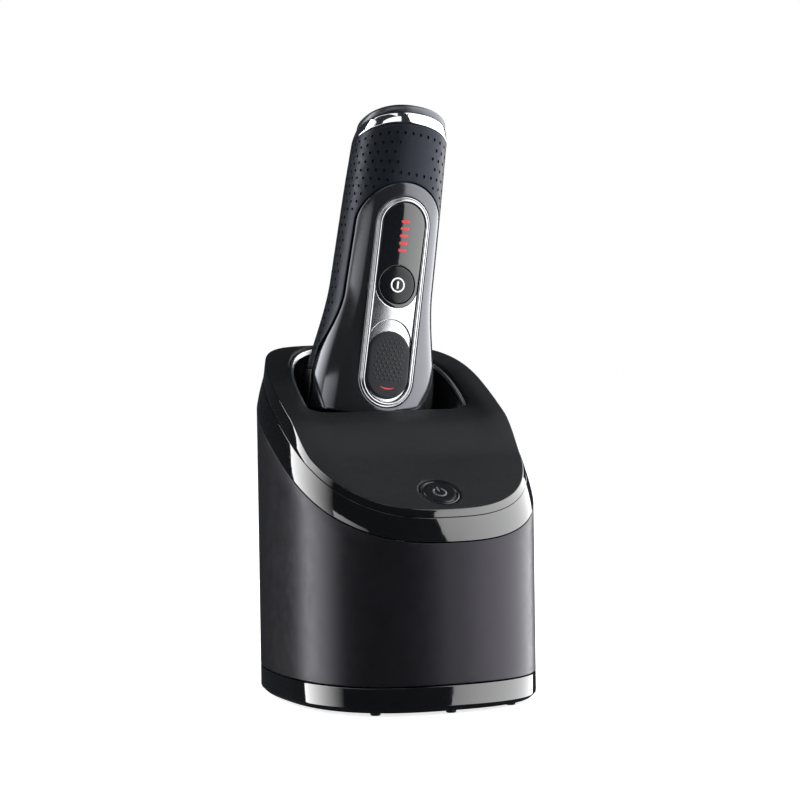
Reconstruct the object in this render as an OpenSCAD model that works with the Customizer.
// Shaver cleaning station with the electric shaver docked head down in it.
// Millimetres. The row frame has its origin under the middle of the station on the
// surface it stands on: +Z up, the start button towards -Y.

/* [Station housing] */
// Half of the station's greatest width
half_w = 58; // [57:0.5:70]
// Depth in front of the widest line
front_d = 67; // [62:0.5:80]
// Depth behind the widest line
rear_d = 73.4; // [68:0.5:88]
// Wall of the housing shell
wall = 2.6; // [2:0.1:3.2]
// Height of the housing shell's front edge above the base ring's underside
shell_front_z = 74.4; // [70:0.5:90]
// Height of the gloss trim band at the front
band_h = 10.8; // [8:0.2:14]
// Height of the top cover's matte edge above the seam at the front
cover_rim_h = 3.8; // [3:0.1:6]
// Visible gap between parting edges of the housing
seam_gap = 0.4; // [0.3:0.05:0.6]

/* [Base] */
// Height of the gloss base ring
ring_h = 11.4; // [10:0.1:12]
// Chamfer round the foot of the base ring
ring_chamfer = 2.2; // [1:0.1:3]
// Height of a rubber foot below the base ring
foot_h = 1.6; // [0.6:0.1:2]
// Radius of a rubber foot
foot_r = 2.3; // [1.5:0.1:3]
// Radius of a guide column
column_r = 4; // [3:0.1:5]
// Travel of the housing when it is raised
lift_travel = 45; // [30:1:50]

/* [Cartridge] */
// Width of the fluid cartridge
cart_w = 62; // [50:1:63]
// Depth of the fluid cartridge
cart_d = 104; // [80:1:106]
// Height of the fluid cartridge with its lid
cart_h = 47; // [36:1:48]

/* [Dock] */
// Half width of the opening in the top cover
dock_half_w = 41.2; // [38:0.2:43]
// Front edge of the opening, measured from the widest line
dock_front_y = 3; // [1:0.5:5]
// Back edge of the opening, measured from the widest line
dock_back_y = 58; // [56:0.5:60]
// Sideways lean of the docked shaver in degrees
lean = 8.6; // [4:0.1:10]

/* [Start button] */
// Radius of the round start button
start_r = 9.25; // [7:0.25:11.25]
// How far the start button travels
start_travel = 1; // [0.5:0.1:1.2]

/* [Shaver] */
// Half width of the shaver's grip at its top
grip_half_w = 22.2; // [20:0.2:24]
// Half depth of the shaver's grip
grip_half_d = 19.6; // [17:0.2:20.2]
// Widening of the body on each side towards the head
neck_gain = 5.6; // [3:0.2:6.4]
// Length of the shaver from foils to crown
shaver_len = 166; // [150:1:180]
// Travel of the sliding lock pad
pad_travel = 5; // [3:0.5:5.2]
// Travel of the shaver's power button
power_travel = 0.6; // [0.3:0.1:0.7]

/* [Hidden] */
$fn = 64;
eps = 0.01;

// Running clearance of a shaft or column in its bore
run_fit = 0.05;
// Clearance between neighbouring shells and pieces
clear = 0.3;

// Superellipse exponents of the station's front and rear halves
front_n = 2.64;
rear_n = 2.54;
// Points round a station outline
sides = 72;
station_y = (front_d - rear_d) / 2;
seam_front_z = shell_front_z + band_h;
cover_front_z = seam_front_z + cover_rim_h;

// Insets of the three visible parting lines
seam_inset = 3;
cover_inset = 4.6;

function sgn_pow(v, e) = sign(v) * pow(abs(v), e);
function clamp01(v) = max(0, min(1, v));
function smooth(v) = let (u = clamp01(v)) u * u * (3 - 2 * u);
function super_pt(a, b, n, t) = [a * sgn_pow(cos(t), 2 / n), b * sgn_pow(sin(t), 2 / n)];
function ring_angle(i, n) = 360 * i / n;
function outline_pt(inset, t) = sin(t) < 0
  ? super_pt(half_w - inset, front_d - inset, front_n, t)
  : super_pt(half_w - inset, rear_d - inset, rear_n, t);
function outline(inset) = [for (i = [0 : sides - 1]) outline_pt(inset, ring_angle(i, sides))];

// Heights of the parting lines over the depth: a straight slope that bends down at the rear
shell_slope = 0.545;
seam_slope = 0.587;
cover_slope = 0.6;
shell_bend = 0.004;
seam_bend = 0.0055;
cover_bend = 0.0055;
rear_bend_y = 25;
cover_bend_y = 20;
cover_lead = 4.5;
// The step across the top cover in front of the dock
step_h = 6;
step_y = -28;
step_d = 22;
function past(y, y0) = max(0, y - y0);
function bend(y, y0, k) = k * pow(past(y, y0), 2);
function shell_z(y) = shell_front_z + shell_slope * (y + front_d) - bend(y, rear_bend_y, shell_bend);
function seam_z(y) = seam_front_z + seam_slope * (y + front_d - seam_inset)
  - bend(y, rear_bend_y, seam_bend);
function cover_z(y) = cover_front_z + cover_slope * (y + front_d - cover_lead)
  + step_h * smooth((y - step_y) / step_d) - bend(y, cover_bend_y, cover_bend);

// The D-shaped opening: its plan and the height of its edge
dock_mid_y = 13;
dock_front_n = 5;
dock_rear_n = 2.4;
dock_edge_drop = 3.8;
dock_rise = 30.5;
dock_curve = 1.35;
function dock_pt(inset, t) = let (
    a = dock_half_w - inset,
    b = (sin(t) < 0 ? dock_mid_y - dock_front_y : dock_back_y - dock_mid_y) - inset,
    p = super_pt(a, b, sin(t) < 0 ? dock_front_n : dock_rear_n, t))
  [p[0], dock_mid_y + p[1]];
dock_front_z = cover_z(dock_front_y) - dock_edge_drop;
function dock_z(y) = dock_front_z
  + dock_rise * (1 - pow(1 - clamp01((y - dock_front_y) / (dock_back_y - dock_front_y)), dock_curve));

// A point of the top surface, s = 0 on the outer edge and 1 on the opening's edge
function top_pt(t, s, drop) = let (
    o = outline_pt(cover_inset, t),
    d = dock_pt(0, t),
    x = o[0] + (d[0] - o[0]) * s,
    y = o[1] + (d[1] - o[1]) * s,
    dip = cover_z(d[1]) - dock_z(d[1]))
  [x, y, cover_z(y) - dip * pow(s, 4) - drop];

// Bowl under the opening, centred under the leaning head
bowl_x = -4;
bowl_y = 29;
bowl_half_x = 38.5;
bowl_half_y = 26;
bowl_n = 3.4;
bowl_wall = 1.8;
bowl_depth = 24.5;
bowl_top_z = dock_front_z - 6;
bowl_floor_z = bowl_top_z - bowl_depth;

// Base plate, the rails on it and the cartridge that lies on them
ring_wall = 4;
plate_top = 5;
rail_top = 12.8;
cart_y0 = -42;
cart_z = rail_top + 0.1;
port_z = cart_z + cart_h;
mouth_half_w = cart_w / 2 + 1.8;
mouth_top = port_z + 3.6;

// Chassis plate that carries the works inside the housing
chassis_z = port_z + 6.1;
chassis_t = 3;
deck_z = chassis_z + chassis_t + eps;
pipe_r = 4;
pump_x = -14;
pump_y = -22;
fan_x = 22;
fan_y = -24;
drain_x = -5;
drain_y = 22;

// Guide columns in their sleeves; sleeve_hold stays engaged with the housing raised
column_x = half_w - 15;
column_y = 8;
sleeve_r = column_r + 3;
sleeve_bottom = 14;
sleeve_hold = 27;
column_top = sleeve_bottom + lift_travel + sleeve_hold;

// Start button on the sloping front of the cover
start_y = 16 - front_d;
start_tilt = atan(cover_slope);
start_z = cover_z(start_y);

// Socket and lift button at the back; the socket sits square to the curved wall
socket_x = -27;
socket_z = deck_z + 15 - eps;
socket_u = abs(socket_x) / half_w;
socket_y = rear_d * pow(1 - pow(socket_u, rear_n), 1 / rear_n);
socket_turn = atan(rear_d / half_w * pow(socket_u, rear_n - 1)
  * pow(1 - pow(socket_u, rear_n), 1 / rear_n - 1));
lift_z = socket_z;
post_x = half_w - 23;
post_y = 46;
post_w = 6;
post_t = 3.6;
post_flange = 1;

// Shaver: profile of its body along its own length
shaver_x = -5.1;
shaver_z = bowl_floor_z + 8.4;
body_n = 2.5;
body_z0 = 19.5;
// The shaver's end is oblique, higher at the front, and slightly arched
arch_drop = 3;
end_slope = 0.33;
crown_h = 4.6;
crown_z = shaver_len - end_slope * grip_half_d + 2.1;
band_low = crown_z - crown_h - 5.8;
skin = 1.2;
core_out = 1.55;
core_in = 3.2;
grip_sides = 48;
grip_z0 = 38;
tongue_top = 129.4;
function body_wx(z) = grip_half_w + 0.028 * (150 - z) + neck_gain * smooth((80 - z) / 50);
function body_wy(z) = grip_half_d + 1.6 * smooth((60 - z) / 30) - 1.4 * smooth((z - 115) / 35);
// Angle 0 is the middle of the front, growing towards +X
function body_pt(z, t, inset) = [
  (body_wx(z) - inset) * sgn_pow(sin(t), 2 / body_n),
  -(body_wy(z) - inset) * sgn_pow(cos(t), 2 / body_n), z];
function end_drop(p) = arch_drop * pow(p[0] / grip_half_w, 2) + end_slope * p[1];
function oblique(p, share) = [p[0], p[1], p[2] - share * end_drop(p)];
// A point of the body's front face over plan position x, z
function front_pt(x, z, inset) = [x,
  -(body_wy(z) - inset) * pow(1 - pow(abs(x) / (body_wx(z) - inset), body_n), 1 / body_n), z];
function edge_angle(x, z) = asin(pow(min(0.999, x / body_wx(z)), body_n / 2));
// Half width of the front tongue
function tongue_x(z) = let (r = 21.2)
  z > tongue_top - r
    ? sqrt(r * r - pow(z - tongue_top + r, 2))
    : r + 0.03 * (tongue_top - r - z) + 7.2 * smooth((76 - z) / 40);

// Oval panel on the front
panel_top = 122.6;
panel_low = 23.8;
panel_r = 13.4;
panel_in = 11;
power_z = 81.3;
power_r = 8.7;
power_stem_r = 4;
pad_low = 27.7;
pad_top = 59.5;
pad_half = 10.5;

// Shaver head
pivot_z = 13;
pivot_r = 1.5;
foil_r = 5.8;
foil_y = 7;
foil_z = 5.9;
ear_x = 17.5;
ear_t = 3;
ear_r = 3;
ear_w = 5;

// Motor and battery cells inside the shaver
works_y = 2;
works_fit = 0.25;
motor_z = 28;
motor_r = 10;
motor_len = 32;
cell_z = 66;
cell_x = 8;
cell_r = 7;
cell_len = 50;

module station() { translate([0, station_y, foot_h]) children(); }
module dock() { station() translate([shaver_x, bowl_y, shaver_z]) rotate([0, lean, 0]) children(); }
module start_frame() {
  station() translate([0, start_y, start_z]) rotate([start_tilt, 0, 0]) children();
}

// Closed ring of rings: each ring has the same number of points, the last joins the first
module ring_solid(rings) {
  n = len(rings[0]);
  m = len(rings);
  pts = [for (r = rings) for (p = r) p];
  faces = [for (k = [0 : m - 1]) for (i = [0 : n - 1]) let (
      k2 = (k + 1) % m, i2 = (i + 1) % n,
      a = k * n + i, b = k * n + i2, c = k2 * n + i2, d = k2 * n + i)
    for (f = [[a, d, c], [a, c, b]]) f];
  polyhedron(pts, faces);
}

// Solid skinned over rings, closed at both ends by a fan to a middle point
module capped_solid(rings, low_mid, high_mid) {
  n = len(rings[0]);
  m = len(rings);
  pts = concat([for (r = rings) for (p = r) p], [low_mid, high_mid]);
  walls = [for (k = [0 : m - 2]) for (i = [0 : n - 1]) let (
      i2 = (i + 1) % n,
      a = k * n + i, b = k * n + i2, c = (k + 1) * n + i2, d = (k + 1) * n + i)
    for (f = [[a, d, c], [a, c, b]]) f];
  lows = [for (i = [0 : n - 1]) [m * n, i, (i + 1) % n]];
  highs = [for (i = [0 : n - 1]) [m * n + 1, (m - 1) * n + (i + 1) % n, (m - 1) * n + i]];
  polyhedron(pts, concat(walls, lows, highs));
}

// Thin patch: rows by columns of outer points over inner points
module patch_solid(outer, inner) {
  m = len(outer);
  n = len(outer[0]);
  pts = concat([for (r = outer) for (p = r) p], [for (r = inner) for (p = r) p]);
  q = m * n;
  skins = [for (k = [0 : m - 2]) for (i = [0 : n - 2]) let (a = k * n + i, d = a + n)
    for (f = [[a, d, d + 1], [a, d + 1, a + 1],
              [q + a, q + d + 1, q + d], [q + a, q + a + 1, q + d + 1]]) f];
  ends = [for (i = [0 : n - 2]) let (a = i, b = (m - 1) * n + i)
    for (f = [[a, a + 1, q + a + 1], [a, q + a + 1, q + a],
              [b, q + b + 1, b + 1], [b, q + b, q + b + 1]]) f];
  edges = [for (k = [0 : m - 2]) let (a = k * n, b = k * n + n - 1)
    for (f = [[a, q + a, q + a + n], [a, q + a + n, a + n],
              [b, b + n, q + b + n], [b, q + b + n, q + b]]) f];
  polyhedron(pts, concat(skins, ends, edges));
}

// ---- Base ----

module base_ring() {
  color("#101012") station() ring_solid([
    [for (p = outline(ring_chamfer)) [p[0], p[1], 0]],
    [for (p = outline(0)) [p[0], p[1], ring_chamfer]],
    [for (p = outline(0)) [p[0], p[1], ring_h]],
    [for (p = outline(ring_wall)) [p[0], p[1], ring_h]],
    [for (p = outline(ring_wall)) [p[0], p[1], 0]]]);
}

// Three feet under the front of the ring and two at the back
foot_x = 33;
front_foot_y = 15 - front_d;
rear_foot_y = rear_d - 20;
feet_at = [[0, 7 - front_d], [-foot_x, front_foot_y], [foot_x, front_foot_y],
  [-foot_x, rear_foot_y], [foot_x, rear_foot_y]];

// Plate with two rails under the cartridge, a guide on each side of it and a stop in front
module base_plate() {
  rail_x = 20;
  rail_w = 6;
  guide_t = 2;
  guide_h = 16;
  guide_mid = cart_w / 2 + 0.4 + guide_t / 2;
  stop_w = 40;
  stop_t = 3;
  root = plate_top - 1;
  color("#2c2c30") station() difference() {
    union() {
      translate([0, 0, foot_h])
        linear_extrude(plate_top - foot_h) polygon(outline(ring_wall + clear));
      for (s = [-1, 1]) {
        translate([s * rail_x - rail_w / 2, cart_y0, root]) cube([rail_w, cart_d, rail_top - root]);
        translate([s * guide_mid - guide_t / 2, cart_y0, root]) cube([guide_t, cart_d - 12, guide_h]);
        translate([s * column_x, column_y, root]) cylinder(r = column_r + 4, h = 1);
      }
      translate([-stop_w / 2, cart_y0 - clear - stop_t, root]) cube([stop_w, stop_t, guide_h]);
    }
    for (s = [-1, 1])
      translate([s * column_x, column_y, 0]) cylinder(r = column_r + run_fit, h = 20);
  }
}

module rubber_feet() {
  color("#161616") station()
    for (p = feet_at) translate([p[0], p[1], -foot_h]) cylinder(r = foot_r, h = 2 * foot_h);
}

module guide_columns() {
  bottom = foot_h + 0.4;
  color("#c8c8cc") station() for (s = [-1, 1])
    translate([s * column_x, column_y, bottom]) cylinder(r = column_r, h = column_top - bottom);
}

spring_r = sleeve_r - 0.6;
spring_gap = 0.2;

// The sprung space between the base plate and each sleeve, at its lowest
module lift_springs() {
  color("#a9adb2") station()
    for (s = [-1, 1]) translate([s * column_x, column_y, plate_top + spring_gap]) difference() {
      cylinder(r = spring_r, h = sleeve_bottom - plate_top - 2 * spring_gap);
      translate([0, 0, -1]) cylinder(r = column_r + 0.4, h = 20);
    }
}

module catch_post() {
  color("#2c2c30") station() translate([post_x, post_y, plate_top]) {
    cube([post_w, post_t, lift_z + 2 - plate_top]);
    translate([-post_flange, -post_flange, 0])
      cube([post_w + 2 * post_flange, post_t + 2 * post_flange, 3]);
  }
}

// ---- Fluid cartridge ----

module rounded_rect(w, d, r) {
  union() {
    square([w - 2 * r, d], center = true);
    square([w, d - 2 * r], center = true);
    for (x = [-1, 1]) for (y = [-1, 1])
      translate([x * (w / 2 - r), y * (d / 2 - r)]) circle(r = r);
  }
}

cart_corner = 9;
cart_wall = 1.6;
cart_lid_t = 2.4;
cart_mid_y = cart_y0 + cart_d / 2;
lid_z = cart_z + cart_h - cart_lid_t;
port_in = [pump_x, pump_y];
port_out = [drain_x, drain_y];
port_r = 7;

module cartridge_body() {
  body_h = cart_h - cart_lid_t - 0.1;
  color("#3f78b8") station() translate([0, cart_mid_y, cart_z]) difference() {
    linear_extrude(body_h) rounded_rect(cart_w, cart_d, cart_corner);
    translate([0, 0, cart_wall]) linear_extrude(body_h)
      rounded_rect(cart_w - 2 * cart_wall, cart_d - 2 * cart_wall, cart_corner - cart_wall);
  }
}

// Lid with its two ports and a row of finger grooves at the pull end
module cartridge_lid() {
  groove_w = 2.5;
  groove_d = 6;
  groove_depth = 0.8;
  color("#d9dde2") station() translate([0, 0, lid_z]) difference() {
    translate([0, cart_mid_y, 0]) linear_extrude(cart_lid_t) rounded_rect(cart_w, cart_d, cart_corner);
    for (p = [port_in, port_out]) translate([p[0], p[1], -1]) cylinder(r = port_r, h = 9);
    for (k = [-2 : 2])
      translate([k * 6 - groove_w / 2, cart_mid_y + cart_d / 2 - 10, cart_lid_t - groove_depth])
        cube([groove_w, groove_d, 2]);
  }
}

// Pick-up tube that hangs from a collar under the lid, with its foot clear of the floor
module cartridge_tube() {
  foot_gap = 3;
  collar_t = 1.6;
  foot_z = rail_top + cart_wall + foot_gap;
  tube_h = lid_z - 0.1 - foot_z;
  color("#e8e8ea") station() translate([port_in[0], port_in[1], foot_z]) difference() {
    union() {
      cylinder(r = pipe_r, h = tube_h);
      translate([0, 0, tube_h - collar_t]) cylinder(r = port_r + 1.4, h = collar_t);
    }
    translate([0, 0, -1]) cylinder(r = pipe_r - 1.4, h = 80);
  }
}

// Slotted basket under the drain port
module cartridge_filter() {
  basket_r = 11;
  basket_z = rail_top + 14;
  slots = 6;
  slot_w = 5;
  slot_h = 20;
  color("#f2f2ee") station() translate([port_out[0], port_out[1], basket_z]) difference() {
    cylinder(r = basket_r, h = lid_z - 0.1 - basket_z);
    translate([0, 0, 1.5]) cylinder(r = basket_r - 1.4, h = 60);
    for (k = [0 : slots - 1]) rotate([0, 0, 360 * k / slots])
      translate([basket_r - 3, -slot_w / 2, 4]) cube([6, slot_w, slot_h]);
  }
}

// ---- Housing ----

// Plan of the four chassis screws, which stand inside the shell's wall
screw_front = [half_w - 9, -16];
screw_rear = [half_w - 15, 36];
screw_at = [for (p = [screw_front, screw_rear]) for (s = [-1, 1]) [s * p[0], p[1]]];
screw_bore = 1.5;
housing_z0 = ring_h + 0.5;

// The lift button and the window for it in the rear wall
lift_button_w = 24;
lift_button_h = 12;
// The power socket's mouth and its recess through the wall
socket_w = 12;
socket_h = 9;

module socket_place() {
  station() translate([socket_x, socket_y - 0.4, socket_z]) rotate([0, 0, socket_turn]) children();
}

module housing_shell() {
  slots = 7;
  slot_pitch = 5;
  slot_w = 2;
  slot_h = 16;
  slot_z = lift_z + 20;
  window_w = lift_button_w + 0.8;
  window_h = lift_button_h + 0.8;
  color("#3a3a44") difference() {
    station() ring_solid([
      [for (p = outline(0)) [p[0], p[1], housing_z0]],
      [for (p = outline(0)) [p[0], p[1], shell_z(p[1])]],
      [for (p = outline(wall)) [p[0], p[1], shell_z(p[1])]],
      [for (p = outline(wall)) [p[0], p[1], housing_z0]]]);
    station() {
      translate([-mouth_half_w, 30, 0]) cube([2 * mouth_half_w, 60, mouth_top]);
      translate([-window_w / 2, 60, lift_z - window_h / 2]) cube([window_w, 30, window_h]);
      for (k = [0 : slots - 1])
        translate([(k - (slots - 1) / 2) * slot_pitch - slot_w / 2, 60, slot_z])
          cube([slot_w, 30, slot_h]);
    }
    socket_place() translate([-socket_w / 2 - 0.4, -8, -socket_h / 2 - 0.4])
      cube([socket_w + 0.8, 20, socket_h + 0.8]);
  }
}

// Gloss band that leans inward from the shell to the seam, slightly crowned on the way
module trim_band() {
  crown = 0.45;
  color("#0c0c0e") station() ring_solid([
    [for (p = outline(0.1)) [p[0], p[1], shell_z(p[1]) + clear]],
    [for (p = outline(1.1)) [p[0], p[1], (1 - crown) * shell_z(p[1]) + crown * seam_z(p[1])]],
    [for (p = outline(seam_inset)) [p[0], p[1], seam_z(p[1])]],
    [for (p = outline(seam_inset + 2.2)) [p[0], p[1], seam_z(p[1])]],
    [for (p = outline(wall)) [p[0], p[1], shell_z(p[1]) + clear]]]);
}

cover_t = 2;
// Rings of the cover's upper and under sides
top_rings = 8;
under_rings = 4;

module top_cover() {
  angles = [for (i = [0 : sides - 1]) ring_angle(i, sides)];
  color("#2b2c30") difference() {
    station() ring_solid(concat(
      [[for (t = angles) let (p = outline_pt(seam_inset + 0.1, t)) [p[0], p[1], seam_z(p[1]) + seam_gap]]],
      [[for (t = angles) let (p = outline_pt(cover_inset - 0.7, t)) [p[0], p[1], cover_z(p[1]) - 0.7]]],
      [for (k = [0 : top_rings]) [for (t = angles) top_pt(t, k / top_rings, 0)]],
      [for (k = [under_rings : -1 : 1]) [for (t = angles) top_pt(t, k / under_rings, cover_t)]],
      [[for (t = angles) let (p = outline_pt(cover_inset + 1.4, t)) [p[0], p[1], cover_z(p[1]) - cover_t]]],
      [[for (t = angles) let (p = outline_pt(seam_inset + 2, t)) [p[0], p[1], seam_z(p[1]) + seam_gap]]]));
    start_frame() translate([0, 0, -10]) cylinder(r = start_r + clear, h = 20);
  }
}

function bowl_ring(inset, z) = [for (i = [0 : sides - 1]) let (
    p = super_pt(bowl_half_x - inset, bowl_half_y - inset, bowl_n, ring_angle(i, sides)))
  [bowl_x + p[0], bowl_y + p[1], z]];

// Funnel from under the opening's lip down to the bowl's rim
module dock_collar() {
  drop = cover_t + 1.7;
  angles = [for (i = [0 : sides - 1]) ring_angle(i, sides)];
  color("#1c1d20") station() ring_solid([
    [for (t = angles) let (p = dock_pt(0.4, t)) [p[0], p[1], dock_z(p[1]) - drop]],
    bowl_ring(0, bowl_top_z + clear),
    bowl_ring(bowl_wall, bowl_top_z + clear),
    [for (t = angles) let (p = dock_pt(2, t)) [p[0], p[1], dock_z(p[1]) - drop]]]);
}

// Bright lip that lines the opening, set just under the cover's edge
module collar_lip() {
  top_drop = 1.2;
  low_drop = cover_t + 1.4;
  angles = [for (i = [0 : sides - 1]) ring_angle(i, sides)];
  color("#c9c9cc") station() ring_solid([
    [for (t = angles) let (p = dock_pt(0.4, t)) [p[0], p[1], dock_z(p[1]) - top_drop]],
    [for (t = angles) let (p = dock_pt(0.4, t)) [p[0], p[1], dock_z(p[1]) - low_drop]],
    [for (t = angles) let (p = dock_pt(2, t)) [p[0], p[1], dock_z(p[1]) - low_drop]],
    [for (t = angles) let (p = dock_pt(1.6, t)) [p[0], p[1], dock_z(p[1]) - top_drop]]]);
}

bowl_leg_r = 3;
bowl_leg_x = 27;
bowl_leg_y = 17;
// Depth of the drain pipe's seat under the bowl and of the bores that meet there
drain_seat = 4;
drain_r = 3;
inlet_z = bowl_floor_z + 12;

module cleaning_bowl() {
  color("#d6d7da") station() difference() {
    union() {
      translate([0, 0, bowl_floor_z]) linear_extrude(bowl_depth)
        polygon([for (p = bowl_ring(0, 0)) [p[0], p[1]]]);
      for (x = [-1, 1]) for (y = [-1, 1])
        translate([bowl_x + x * bowl_leg_x, bowl_y + y * bowl_leg_y, deck_z])
          cylinder(r = bowl_leg_r, h = bowl_floor_z - deck_z + 1);
      translate([drain_x, drain_y, bowl_floor_z - drain_seat])
        cylinder(r = pipe_r + 1.4, h = drain_seat + 1);
    }
    translate([0, 0, bowl_floor_z + bowl_wall]) linear_extrude(60)
      polygon([for (p = bowl_ring(bowl_wall, 0)) [p[0], p[1]]]);
    translate([drain_x, drain_y, 0]) cylinder(r = drain_r, h = bowl_top_z);
    translate([drain_x, drain_y, 0]) cylinder(r = pipe_r + run_fit, h = bowl_floor_z);
    translate([pump_x, bowl_y - bowl_half_y + 6, inlet_z]) rotate([90, 0, 0])
      cylinder(r = supply_r + 0.15, h = 30);
  }
}

board_posts = [for (x = [-12, 14]) for (y = [16, 42]) [x, y]];
board_post_h = 6;

// Deck inside the shell, bored for sleeves, pipes and screws, with a slot for the catch post
module chassis() {
  screw_boss_r = 4;
  screw_boss_h = 14;
  color("#48484e") station() difference() {
    union() {
      translate([0, 0, chassis_z]) linear_extrude(chassis_t) polygon(outline(wall + 0.4));
      for (p = screw_at)
        translate([p[0], p[1], chassis_z - screw_boss_h]) cylinder(r = screw_boss_r, h = screw_boss_h + 1);
      for (p = board_posts)
        translate([p[0], p[1], chassis_z]) cylinder(r = 2.5, h = chassis_t + board_post_h);
    }
    for (s = [-1, 1])
      translate([s * column_x, column_y, 0]) cylinder(r = sleeve_r + run_fit, h = 90);
    for (p = [port_in, port_out]) translate([p[0], p[1], 0]) cylinder(r = pipe_r + run_fit, h = 90);
    for (p = screw_at) translate([p[0], p[1], 0]) cylinder(r = screw_bore, h = 90);
    translate([post_x - post_flange, post_y - post_flange, 0])
      cube([post_w + 2 * post_flange, post_t + 2 * post_flange, 90]);
  }
}

// Cross-head screws down through the deck
module chassis_screws() {
  head_r = 3.2;
  head_h = 2.2;
  shank = 13;
  slot_l = 4;
  slot_w = 0.7;
  color("#8d9096") station() for (p = screw_at) translate([p[0], p[1], deck_z]) difference() {
    union() {
      cylinder(r = head_r, h = head_h);
      translate([0, 0, -shank]) cylinder(r = screw_bore - run_fit, h = shank + 1);
    }
    for (a = [0, 90]) rotate([0, 0, a])
      translate([-slot_l / 2, -slot_w / 2, head_h - 1]) cube([slot_l, slot_w, 2]);
  }
}

// Tubes closed at the top, which slide on the columns
module guide_sleeves() {
  sleeve_h = column_top + 4 - sleeve_bottom;
  color("#e3e3e0") station() for (s = [-1, 1]) translate([s * column_x, column_y, sleeve_bottom])
    difference() {
      cylinder(r = sleeve_r, h = sleeve_h);
      translate([0, 0, -1]) cylinder(r = column_r + run_fit, h = sleeve_h - 0.5);
    }
}

// ---- Pump, pipes and fan ----

pump_r = 14;
pump_h = 10;
pump_wall = 3;
shaft_r = 1.5;
outlet_z = pump_h / 2;
supply_r = 2.95;
supply_bore = 1.9;

// Volute with its inlet below, bearing bore above and outlet stub to the rear
module pump_housing() {
  color("#d8d8d4") station() translate([pump_x, pump_y, deck_z]) difference() {
    union() {
      cylinder(r = pump_r, h = pump_h);
      translate([0, pump_r - pump_wall, outlet_z]) rotate([-90, 0, 0]) cylinder(r = 4.5, h = 6);
    }
    translate([0, 0, 2]) cylinder(r = pump_r - pump_wall, h = pump_h - 4);
    translate([0, 0, -1]) cylinder(r = 3, h = 2);
    translate([0, 0, 1]) cylinder(r = shaft_r + run_fit, h = pump_h);
    translate([7, 0, -1]) cylinder(r = 1.6, h = 4);
    translate([0, pump_r - 6, outlet_z]) rotate([-90, 0, 0]) cylinder(r = supply_r + run_fit, h = 20);
  }
}

module pump_motor() {
  can_r = 11;
  can_h = 20;
  color("#b9bcc1") station() translate([pump_x, pump_y, deck_z + pump_h + 0.1]) difference() {
    union() {
      cylinder(r = can_r, h = can_h);
      translate([0, 0, can_h]) cylinder(r = 4, h = 2);
      for (s = [-1, 1]) translate([s * 6 - 1, -0.4, can_h]) cube([2, 0.8, 4]);
    }
    translate([0, 0, -1]) cylinder(r = shaft_r + run_fit, h = 8);
  }
}

impeller_blades = 6;

module pump_impeller() {
  hub_r = 3.4;
  disc_z = 2.6;
  blade_t = 1.2;
  blade_h = 4.4;
  color("#3c6fb0") station() translate([pump_x, pump_y, deck_z]) {
    translate([0, 0, 1.4]) cylinder(r = shaft_r, h = pump_h + 3);
    difference() {
      translate([0, 0, disc_z]) union() {
        cylinder(r = pump_r - pump_wall - 1, h = 1.2);
        cylinder(r = hub_r, h = blade_h + 0.4);
        for (k = [0 : impeller_blades - 1]) rotate([0, 0, 360 * k / impeller_blades])
          translate([hub_r - 0.9, -blade_t / 2, 0]) cube([pump_r - 7, blade_t, blade_h]);
      }
      translate([0, 0, 2]) cylinder(r = shaft_r - eps, h = 6);
    }
  }
}

supply_y = bowl_y - bowl_half_y - 4;

// Route of the supply pipe: back from the pump, up in front of the bowl and into its wall
module pipe_run(r) {
  z = deck_z + outlet_z;
  y0 = pump_y + pump_r + 0.2;
  translate([pump_x, y0, z]) rotate([-90, 0, 0]) cylinder(r = r, h = supply_y - y0);
  translate([pump_x, supply_y, z]) sphere(r = r);
  translate([pump_x, supply_y, z]) cylinder(r = r, h = inlet_z - z);
  translate([pump_x, supply_y, inlet_z]) sphere(r = r);
  translate([pump_x, supply_y, inlet_z]) rotate([-90, 0, 0]) cylinder(r = r, h = 7);
}

module supply_pipe() {
  color("#cfd6dc") station() difference() {
    pipe_run(supply_r);
    pipe_run(supply_bore);
    translate([pump_x, pump_y + pump_r - 1, deck_z + outlet_z]) rotate([-90, 0, 0])
      cylinder(r = supply_bore, h = 3);
    translate([pump_x, supply_y + 5, inlet_z]) rotate([-90, 0, 0]) cylinder(r = supply_bore, h = 5);
  }
}

// Height of the pipes' ends and of the seals' faces above the cartridge's lid
nozzle_gap = 1.4;
seal_gap = 0.9;

module pipe_down(p, top) {
  low = port_z + nozzle_gap;
  translate([p[0], p[1], low]) difference() {
    cylinder(r = pipe_r, h = top - low);
    translate([0, 0, -1]) cylinder(r = pipe_r - 1.1, h = 90);
  }
}

module intake_pipe() { color("#cfd6dc") station() pipe_down(port_in, deck_z - 0.1); }

module drain_pipe() { color("#cfd6dc") station() pipe_down(port_out, bowl_floor_z - 0.1); }

module nozzle_seals() {
  color("#1f1f22") station() for (p = [port_in, port_out])
    translate([p[0], p[1], port_z + seal_gap]) difference() {
      cylinder(r = pipe_r + 2.2, h = 3.4);
      translate([0, 0, -1]) cylinder(r = pipe_r + run_fit, h = 9);
    }
}

fan_half = 17;
fan_h = 10;
fan_hub_r = 6.5;
fan_pin_r = 1;

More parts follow.
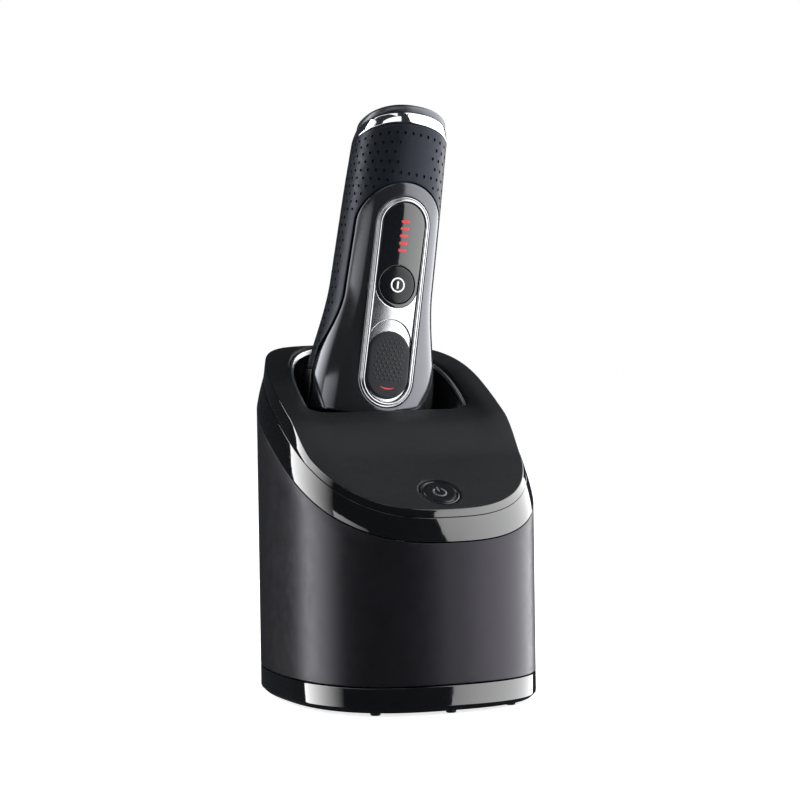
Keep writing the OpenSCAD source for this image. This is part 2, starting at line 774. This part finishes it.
// Square frame whose four spokes carry the rotor's bearing
module fan_frame() {
  duct_r = fan_half - 1.4;
  hole_at = fan_half - 2.5;
  spoke_t = 1.2;
  color("#202024") station() translate([fan_x, fan_y, deck_z]) {
    difference() {
      translate([-fan_half, -fan_half, 0]) cube([2 * fan_half, 2 * fan_half, fan_h]);
      translate([0, 0, -1]) cylinder(r = duct_r, h = 20);
      for (x = [-1, 1]) for (y = [-1, 1])
        translate([x * hole_at, y * hole_at, -1]) cylinder(r = 1.4, h = 20);
    }
    difference() {
      union() {
        cylinder(r = fan_hub_r, h = spoke_t);
        for (a = [45 : 90 : 315]) rotate([0, 0, a])
          translate([4, -1, 0]) cube([duct_r - 3.2, 2, spoke_t]);
      }
      translate([0, 0, -1]) cylinder(r = fan_pin_r, h = 4);
    }
  }
}

fan_blades = 7;

module fan_rotor() {
  blade_pitch = 32;
  blade_w = 8;
  blade_t = 1;
  blade_l = fan_half - 8.2;
  color("#35353a") station() translate([fan_x, fan_y, deck_z]) {
    translate([0, 0, 0.2]) cylinder(r = fan_pin_r - run_fit, h = 4);
    translate([0, 0, 1.6]) cylinder(r = fan_hub_r, h = fan_h - 2);
    for (k = [0 : fan_blades - 1]) rotate([0, 0, 360 * k / fan_blades])
      translate([fan_hub_r - 0.5, 0, 5.4]) rotate([blade_pitch, 0, 0])
        translate([0, -blade_w / 2, -blade_t / 2]) cube([blade_l, blade_w, blade_t]);
  }
}

// ---- Electronics ----

board_t = 1.6;

// Control board on the chassis posts: processor, capacitor and relay
module main_board() {
  board = 34;
  board_at = [-16, 12];
  color("#1f6b45") station() translate([0, 0, deck_z + board_post_h]) {
    difference() {
      translate([board_at[0], board_at[1], 0]) cube([board, board, board_t]);
      translate([drain_x, drain_y, -1]) cylinder(r = pipe_r + 1, h = 9);
    }
    translate([3, 18, board_t]) cube([10, 10, 2]);
    translate([11, 38, board_t]) cylinder(r = 4, h = 10);
    translate([-13, 34, board_t]) cube([14, 9, 7]);
  }
}

// Heights under the cover's face at the start button
bracket_z = -8;
bracket_rim_z = -2.4;
bracket_floor_z = -6;
switch_z = -13.6;
switch_board_t = 1.2;
switch_h = 2.2;
dome_h = 0.4;
dome_z = switch_z + switch_board_t + switch_h;
bracket_leg_x = 8;
stem_r = 3;

// Cup under the cover that guides the button's stem and carries the switch board
module button_bracket() {
  leg_z = switch_z + switch_board_t + 0.2;
  color("#48484e") start_frame() difference() {
    union() {
      translate([0, 0, bracket_z]) cylinder(r = start_r + 2.35, h = bracket_rim_z - bracket_z);
      for (s = [-1, 1])
        translate([s * bracket_leg_x, 0, leg_z]) cylinder(r = 1.5, h = bracket_z + 0.8 - leg_z);
    }
    translate([0, 0, bracket_floor_z]) cylinder(r = start_r + 0.6, h = 10);
    translate([0, 0, bracket_z - 2]) cylinder(r = stem_r + run_fit, h = 10);
  }
}

module switch_board() {
  board_w = 22;
  board_d = 12;
  switch_w = 6;
  color("#1f6b45") start_frame() translate([0, 0, switch_z]) {
    translate([-board_w / 2, -board_d / 2, 0]) cube([board_w, board_d, switch_board_t]);
    translate([-switch_w / 2, -switch_w / 2, switch_board_t]) cube([switch_w, switch_w, switch_h]);
    translate([0, 0, dome_z - switch_z]) cylinder(r = 1.6, h = dome_h);
  }
}

// Disc and stem; the stem stops short of the switch's dome by its travel
module start_button() {
  stem_low = dome_z + dome_h + start_travel + 0.4;
  disc_low = -2.6;
  color("#26272b") start_frame() {
    translate([0, 0, disc_low]) cylinder(r = start_r, h = 2.5);
    translate([0, 0, stem_low]) cylinder(r = stem_r, h = disc_low - stem_low + 0.2);
  }
}

symbol_r = 3.3;
symbol_line = 0.8;

// Raised standby symbol: a ring open at the top with a bar in the gap
module start_symbol() {
  symbol_h = 0.3;
  ring_gap = 2.6;
  bar_low = 0.6;
  bar_len = 3.4;
  color("#8c8e93") start_frame() translate([0, 0, -0.1 + eps]) {
    linear_extrude(symbol_h) difference() {
      circle(r = symbol_r);
      circle(r = symbol_r - symbol_line);
      translate([-ring_gap / 2, 0]) square([ring_gap, 5]);
    }
    translate([-symbol_line / 2, bar_low, 0]) cube([symbol_line, bar_len, symbol_h]);
  }
}

// Contacts behind the docked shaver, at a level given along the shaver's own length
contact_level = 34;
contact_z = shaver_z + contact_level - 0.4;
contact_x = shaver_x + (contact_z - shaver_z) * tan(lean);
contact_gap = 0.3;
contact_half = 4.5;
contact_r = 1.2;
pad_proud = 0.25;
contact_tip_y = bowl_y + body_wy(contact_level) + pad_proud + contact_gap;

module contact_block() {
  block_w = 18;
  block_h = 8;
  color("#1c1d20") station() difference() {
    translate([contact_x - block_w / 2, contact_tip_y + 0.9, contact_z - block_h / 2])
      cube([block_w, 1.8, block_h]);
    for (s = [-1, 1]) translate([contact_x + s * contact_half, contact_tip_y, contact_z])
      rotate([-90, 0, 0]) cylinder(r = contact_r + run_fit, h = 9);
  }
}

module charging_contacts() {
  color("#d8b25a") station() for (s = [-1, 1])
    translate([contact_x + s * contact_half, contact_tip_y, contact_z]) rotate([-90, 0, 0])
      cylinder(r = contact_r, h = 3.4);
}

pin_x = 2;
pin_r = 0.88;

// Mouth block in the wall, wider body behind it, and the pocket the plug enters
module power_socket() {
  mouth_d = 5;
  body = 16;
  body_d = 11.6;
  pocket_w = 9.2;
  pocket_h = 6.4;
  color("#141416") socket_place() difference() {
    union() {
      translate([-socket_w / 2, -mouth_d, -socket_h / 2]) cube([socket_w, mouth_d + clear, socket_h]);
      translate([-body / 2, -body, -body / 2]) cube([body, body_d, body]);
    }
    translate([-pocket_w / 2, -12, -pocket_h / 2]) cube([pocket_w, 20, pocket_h]);
    for (s = [-1, 1]) translate([s * pin_x, -17, 0]) rotate([-90, 0, 0]) cylinder(r = pin_r + 0.02, h = 9);
  }
}

module socket_pins() {
  color("#d0d0d4") socket_place() for (s = [-1, 1])
    translate([s * pin_x, -17.5, 0]) rotate([-90, 0, 0]) cylinder(r = pin_r, h = 11);
}

lift_button_t = 5;
lift_face_y = rear_d - 0.4;

// Push plate with three grip grooves
module lift_button() {
  groove_w = 16;
  groove_h = 1;
  color("#55575d") station() translate([0, lift_face_y, lift_z]) difference() {
    translate([-lift_button_w / 2, -lift_button_t, -lift_button_h / 2])
      cube([lift_button_w, lift_button_t, lift_button_h]);
    for (k = [-1 : 1]) translate([-groove_w / 2, -0.5, k * 2.6 - groove_h / 2])
      cube([groove_w, 2, groove_h]);
  }
}

// Arm from the lift button round to the catch post, hooked in front of it
module latch_arm() {
  arm_t = 3;
  arm_h = 5;
  hub_y = lift_face_y - lift_button_t - 6.2;
  arm_y = hub_y - 2.8;
  nose_x = post_x - 5;
  nose_y = post_y - 2.4;
  color("#48484e") station() translate([0, 0, lift_z - 4]) {
    translate([-7, hub_y, 0]) cube([14, 6.2, 8]);
    translate([-7, arm_y, 0]) cube([post_x + 5, arm_t, arm_h]);
    translate([nose_x, nose_y, 0]) cube([arm_t, arm_y + arm_t - nose_y, arm_h]);
    translate([nose_x, nose_y, 0]) cube([10, 2, arm_h]);
  }
}

// ---- Shaver ----

function body_rows(z0, z1, rows) = [for (k = [0 : rows]) z0 + (z1 - z0) * k / rows];
function full_ring(z, inset) = [for (i = [0 : grip_sides - 1])
  body_pt(z, ring_angle(i, grip_sides), inset)];
function end_ring(level, inset) = [for (p = full_ring(level, inset)) oblique(p, 1)];

// Cross wall inside the core, reaching into its shell
module bulkhead(z, t) {
  inset = (core_out + core_in) / 2 + 0.4;
  translate([0, 0, z]) linear_extrude(t)
    polygon([for (p = full_ring(z, inset)) [p[0], p[1]]]);
}

// The shell, its cross walls and the two ears that hold the head's pivot pin
module shaver_core() {
  rows = body_rows(body_z0, 138, 14);
  top = crown_z - crown_h - 1;
  wall_t = 2;
  color("#1d1e22") dock() difference() {
    union() {
      ring_solid(concat(
        [for (z = rows) full_ring(z, core_out)],
        [end_ring(top, core_out), end_ring(top, core_in)],
        [for (k = [len(rows) - 1 : -1 : 0]) full_ring(rows[k], core_in)]));
      for (z = [motor_z + 4, motor_z + 26, cell_z + 6, cell_z + 42]) bulkhead(z, wall_t);
      bulkhead(body_z0 + clear, 2.2);
      for (s = [-1, 1]) translate([s * ear_x - ear_t / 2, 0, pivot_z]) {
        rotate([0, 90, 0]) cylinder(r = ear_r, h = ear_t);
        translate([0, -ear_w / 2, 0]) cube([ear_t, ear_w, body_z0 + 1 - pivot_z]);
      }
    }
    translate([0, works_y, motor_z - 7]) cylinder(r = motor_r + works_fit, h = motor_len + 9);
    for (s = [-1, 1])
      translate([s * cell_x, works_y, cell_z - 1]) cylinder(r = cell_r + works_fit, h = cell_len + 10);
    translate([0, works_y, 0]) cylinder(r = 4, h = 30);
    translate([-25, 0, pivot_z]) rotate([0, 90, 0]) cylinder(r = pivot_r + run_fit, h = 50);
    translate([0, 0, power_z]) rotate([90, 0, 0]) cylinder(r = power_stem_r + 0.4, h = 60);
  }
}

// Tube with a notch open to the front, closed above the tongue's top
module grip_rubber() {
  rows = 15;
  cols = 30;
  notch_gap = clear + 0.2;
  low = [for (k = [0 : rows]) grip_z0 + (tongue_top + notch_gap - grip_z0) * eased(k / rows)];
  high = band_low - 0.2;
  zs = concat(low, [138, high]);
  m = len(zs);
  function half_gap(k) = k >= rows ? 0 : edge_angle(tongue_x(zs[k]) + notch_gap, zs[k]);
  function row_pt(k, i, inset) = let (
      g = half_gap(k),
      t = g + (360 - 2 * g) * i / cols,
      p = body_pt(zs[k], t, inset))
    k == m - 1 ? oblique(p, 1) : k == m - 2 ? oblique(p, 0.4) : p;
  pts = concat(
    [for (k = [0 : m - 1]) for (i = [0 : cols]) row_pt(k, i, 0)],
    [for (k = [0 : m - 1]) for (i = [0 : cols]) row_pt(k, i, skin)]);
  n = cols + 1;
  q = m * n;
  // Above the notch the last column is the first one
  function at(k, i) = (k >= rows && i == cols) ? k * n : k * n + i;
  skins = [for (k = [0 : m - 2]) for (i = [0 : cols - 1]) let (
      a = at(k, i), b = at(k, i + 1), c = at(k + 1, i + 1), d = at(k + 1, i))
    for (f = [[a, d, c], [a, c, b], [q + a, q + c, q + d], [q + a, q + b, q + c]]) f];
  ends = [for (i = [0 : cols - 1]) let (
      a = at(0, i), b = at(0, i + 1), c = at(m - 1, i), d = at(m - 1, i + 1))
    for (f = [[a, b, q + b], [a, q + b, q + a], [c, q + d, d], [c, q + c, q + d]]) f];
  sides_of_notch = [for (k = [0 : rows - 1]) let (
      a = at(k, 0), d = at(k + 1, 0), b = at(k, cols), e = at(k + 1, cols))
    for (f = [[a, q + a, q + d], [a, q + d, d], [b, e, q + e], [b, q + e, q + b]]) f];
  color("#22252e") dock() polyhedron(pts, concat(skins, ends, sides_of_notch));
}

// Rows crowd together towards the tongue's tip, where its outline turns fastest
function eased(u) = 1 - pow(1 - u, 1.7);
function tongue_row(z, inset, cols) = let (e = edge_angle(max(0.6, tongue_x(z)), z))
  [for (i = [0 : cols]) body_pt(z, e * (2 * i / cols - 1), inset)];

module stadium(r, low, top) {
  union() {
    translate([0, low + r]) circle(r = r);
    translate([0, top - r]) circle(r = r);
    translate([-r, low + r]) square([2 * r, top - low - 2 * r]);
  }
}

// Extrudes a drawing of the front view through the front wall
module front_cut() { rotate([90, 0, 0]) linear_extrude(60) children(); }

module front_tongue() {
  rows = 16;
  cols = 12;
  zs = [for (k = [0 : rows]) body_z0 + (tongue_top - body_z0) * eased(k / rows)];
  color("#3c3d42") dock() difference() {
    patch_solid([for (z = zs) tongue_row(z, 0, cols)], [for (z = zs) tongue_row(z, skin, cols)]);
    front_cut() stadium(panel_r + 0.2, panel_low - 0.2, panel_top + 0.2);
  }
}

module neck_shell() {
  zs = body_rows(body_z0, grip_z0 - clear, 2);
  cols = 24;
  function row(z, inset) = let (e = edge_angle(tongue_x(z) + clear, z))
    [for (i = [0 : cols]) body_pt(z, e + (360 - 2 * e) * i / cols, inset)];
  color("#17181b") dock() patch_solid([for (z = zs) row(z, 0)], [for (z = zs) row(z, skin)]);
}

module end_band() {
  band_top = crown_z - crown_h - 0.2;
  color("#d4d5d8") dock() ring_solid([
    end_ring(band_low, 0), end_ring(band_top, 0.2),
    end_ring(band_top, skin), end_ring(band_low, skin)]);
}

module end_crown() {
  low = crown_z - crown_h;
  color("#8e9095") dock() capped_solid(
    [end_ring(low, 14), end_ring(low, 8), end_ring(low, 3.4), end_ring(low, 0.3),
     end_ring(crown_z - 1.2, 0.7), end_ring(crown_z, 2.6), end_ring(crown_z + 0.5, 8),
     end_ring(crown_z + 0.8, 14)],
    [0, 0, low], [0, 0, crown_z + 0.9]);
}

// Closed curve of a stadium in the front view, from its right side upwards
function stadium_curve(r, low, top, n) = [for (i = [0 : n - 1]) let (
    t = 360 * (i + 0.5) / n,
    z_mid = sin(t) >= 0 ? top - r : low + r)
  [r * cos(t), z_mid + r * sin(t)]];
function on_front(curve, inset) = [for (p = curve) front_pt(p[0], p[1], inset)];
function shrink(curve, mid, k) = [for (p = curve) [p[0] * k, mid + (p[1] - mid) * k]];

// Plate that follows the front face between two insets; a negative inset stands proud
module front_plate(curve, mid, out, in) {
  levels = [1, 0.72, 0.4];
  capped_solid(concat(
      [for (k = [2 : -1 : 0]) on_front(shrink(curve, mid, levels[k]), in)],
      [for (k = [0 : 2]) on_front(shrink(curve, mid, levels[k]), out)]),
    front_pt(0, mid, in), front_pt(0, mid, out));
}

module panel_ring() {
  n = 40;
  outer = stadium_curve(panel_r, panel_low, panel_top, n);
  inner = stadium_curve(panel_in, panel_low + panel_r - panel_in, panel_top - panel_r + panel_in, n);
  color("#d4d5d8") dock() ring_solid([
    on_front(outer, skin), on_front(outer, -0.1), on_front(inner, -0.35), on_front(inner, skin)]);
}

inner_half = panel_in - 0.15;
inner_low = panel_low + panel_r - inner_half;
inner_top = panel_top - panel_r + inner_half;

// Floor of the recess in which the lock pad slides
module track_plate() {
  top = power_z - power_r - 0.6;
  color("#e2e2e4") dock()
    front_plate(stadium_curve(inner_half, inner_low, top, 40), (inner_low + top) / 2, 0.95, skin);
}

// Bright plate between the display window and the recess, notched for both
module panel_plate() {
  low = 52;
  high = power_z;
  cols = 8;
  rows = body_rows(low, high, 12);
  function row(z, inset) = [for (i = [0 : cols]) front_pt(inner_half * (2 * i / cols - 1), z, inset)];
  color("#cfd0d3") dock() difference() {
    patch_solid([for (z = rows) row(z, 0.05)], [for (z = rows) row(z, 0.75)]);
    translate([0, 0, power_z]) rotate([90, 0, 0]) cylinder(r = inner_half - 0.05, h = 60);
    front_cut() stadium(pad_half + clear, 10, pad_top + pad_travel + clear);
  }
}

module display_window() {
  half = inner_half - 0.15;
  low = power_z - half;
  color("#0e0f12") dock() difference() {
    front_plate(stadium_curve(half, low, inner_top, 40), (low + inner_top) / 2, 0.05, 0.9);
    translate([0, 0, power_z]) rotate([90, 0, 0]) cylinder(r = power_r + 0.25, h = 60);
  }
}

led_z = 111.1;
led_step = 3.38;
led_half_w = 2;
led_half_h = 0.7;

module led_bars() {
  function bar(z, inset) = [for (s = [-led_half_h, led_half_h])
    [for (u = [-led_half_w, 0, led_half_w]) front_pt(u, z + s, inset)]];
  color("#d2323c") dock() for (k = [0 : 4]) let (z = led_z - k * led_step)
    patch_solid(bar(z, -0.1), bar(z, 0.04));
}

module shaver_contacts() {
  pad_w = 3.6;
  pad_h = 11;
  color("#d8b25a") dock() for (s = [-1, 1])
    translate([s * contact_half - pad_w / 2, body_wy(contact_level) + 0.02, contact_level - 5])
      cube([pad_w, pad_proud - 0.02, pad_h]);
}

module battery_cells() {
  color("#3d7a4a") dock() for (s = [-1, 1])
    translate([s * cell_x, works_y, cell_z]) cylinder(r = cell_r, h = cell_len);
}

module shaver_motor() {
  color("#b9bcc1") dock() translate([0, works_y, motor_z]) {
    cylinder(r = motor_r, h = motor_len);
    translate([0, 0, -5]) cylinder(r = 1.2, h = 6);
  }
}

// Domed disc whose underside stays off the core by its travel
module power_button() {
  n = 36;
  under = core_out - power_travel - clear;
  curve = [for (i = [0 : n - 1]) let (t = ring_angle(i, n))
    [power_r * cos(t), power_z + power_r * sin(t)]];
  color("#141518") dock() {
    front_plate(curve, power_z, -0.05, under);
    translate([0, -body_wy(power_z) + under - 0.1, power_z]) rotate([-90, 0, 0])
      cylinder(r = power_stem_r, h = 3);
  }
}

module lock_pad() {
  color("#333841") dock()
    front_plate(stadium_curve(pad_half, pad_low, pad_top, 36), (pad_low + pad_top) / 2, -0.7, 0.75);
}

// ---- Shaver head ----

head_half_x = 29;
head_half_y = 16.6;
head_top = 15.4;

head_low = 7;
pin_len = 49;

// Frame with a well for the core's ears above, a recess for the cutters below and the pin's bore
module head_frame() {
  well = [42, 16];
  recess = [54, 27.2];
  recess_h = 1.6;
  color("#2b2c30") dock() difference() {
    translate([0, 0, head_low]) linear_extrude(head_top - head_low)
      rounded_rect(2 * head_half_x, 2 * head_half_y, 8);
    translate([-well[0] / 2, -well[1] / 2, 9.3]) cube([well[0], well[1], 20]);
    translate([-recess[0] / 2, -recess[1] / 2, head_low - 1]) cube([recess[0], recess[1], recess_h + 1]);
    translate([-pin_len / 2 - 0.5, 0, pivot_z]) rotate([0, 90, 0])
      cylinder(r = pivot_r + eps, h = pin_len + 1);
  }
}

module pivot_pin() {
  color("#c8c8cc") dock() translate([-pin_len / 2, 0, pivot_z]) rotate([0, 90, 0])
    cylinder(r = pivot_r, h = pin_len);
}

foil_half_len = 25;

// Cassette with one long window for each foil
module foil_cassette() {
  window_w = 12.4;
  window_half = foil_half_len + 0.4;
  color("#5b5d63") dock() difference() {
    translate([0, 0, 2.6]) linear_extrude(head_low - 2.7)
      rounded_rect(2 * head_half_x - 0.6, 2 * head_half_y - 0.6, 7.6);
    for (y = [1, -1 - window_w]) translate([-window_half, y, 0]) cube([2 * window_half, window_w, 9]);
  }
}

module half_tube(y, r_out, r_in, half_len) {
  translate([-half_len, y, foil_z]) rotate([0, 90, 0]) difference() {
    cylinder(r = r_out, h = 2 * half_len);
    translate([0, 0, -1]) cylinder(r = r_in, h = 2 * half_len + 2);
    translate([-20, -20, -1]) cube([20, 40, 2 * half_len + 2]);
  }
}

module shaver_foils() {
  foil_t = 0.35;
  color("#dcdcde") dock() for (s = [-1, 1])
    half_tube(s * foil_y, foil_r, foil_r - foil_t, foil_half_len);
}

// Two cutter blocks joined by the bridge that drives them
module cutter_blocks() {
  cutter_r = foil_r - 0.6;
  cutter_half = foil_half_len - 2.5;
  base_t = 1.3;
  color("#9a9ca1") dock() {
    for (s = [-1, 1]) half_tube(s * foil_y, cutter_r, 1.5, cutter_half);
    for (s = [-1, 1]) translate([-cutter_half, s * foil_y - cutter_r, foil_z])
      cube([2 * cutter_half, 2 * cutter_r, base_t]);
    translate([-cutter_half, -11, foil_z + base_t - eps]) cube([2 * cutter_half, 22, 1]);
  }
}

base_ring();
base_plate();
rubber_feet();
guide_columns();
lift_springs();
catch_post();
cartridge_body();
cartridge_lid();
cartridge_tube();
cartridge_filter();
housing_shell();
trim_band();
top_cover();
dock_collar();
collar_lip();
cleaning_bowl();
chassis();
chassis_screws();
guide_sleeves();
pump_housing();
pump_motor();
supply_pipe();
intake_pipe();
drain_pipe();
nozzle_seals();
fan_frame();
main_board();
button_bracket();
switch_board();
contact_block();
charging_contacts();
power_socket();
socket_pins();
start_button();
start_symbol();
lift_button();
latch_arm();
pump_impeller();
fan_rotor();
shaver_core();
grip_rubber();
front_tongue();
neck_shell();
end_band();
end_crown();
panel_ring();
track_plate();
panel_plate();
display_window();
led_bars();
shaver_contacts();
battery_cells();
shaver_motor();
power_button();
lock_pad();
head_frame();
pivot_pin();
foil_cassette();
shaver_foils();
cutter_blocks();
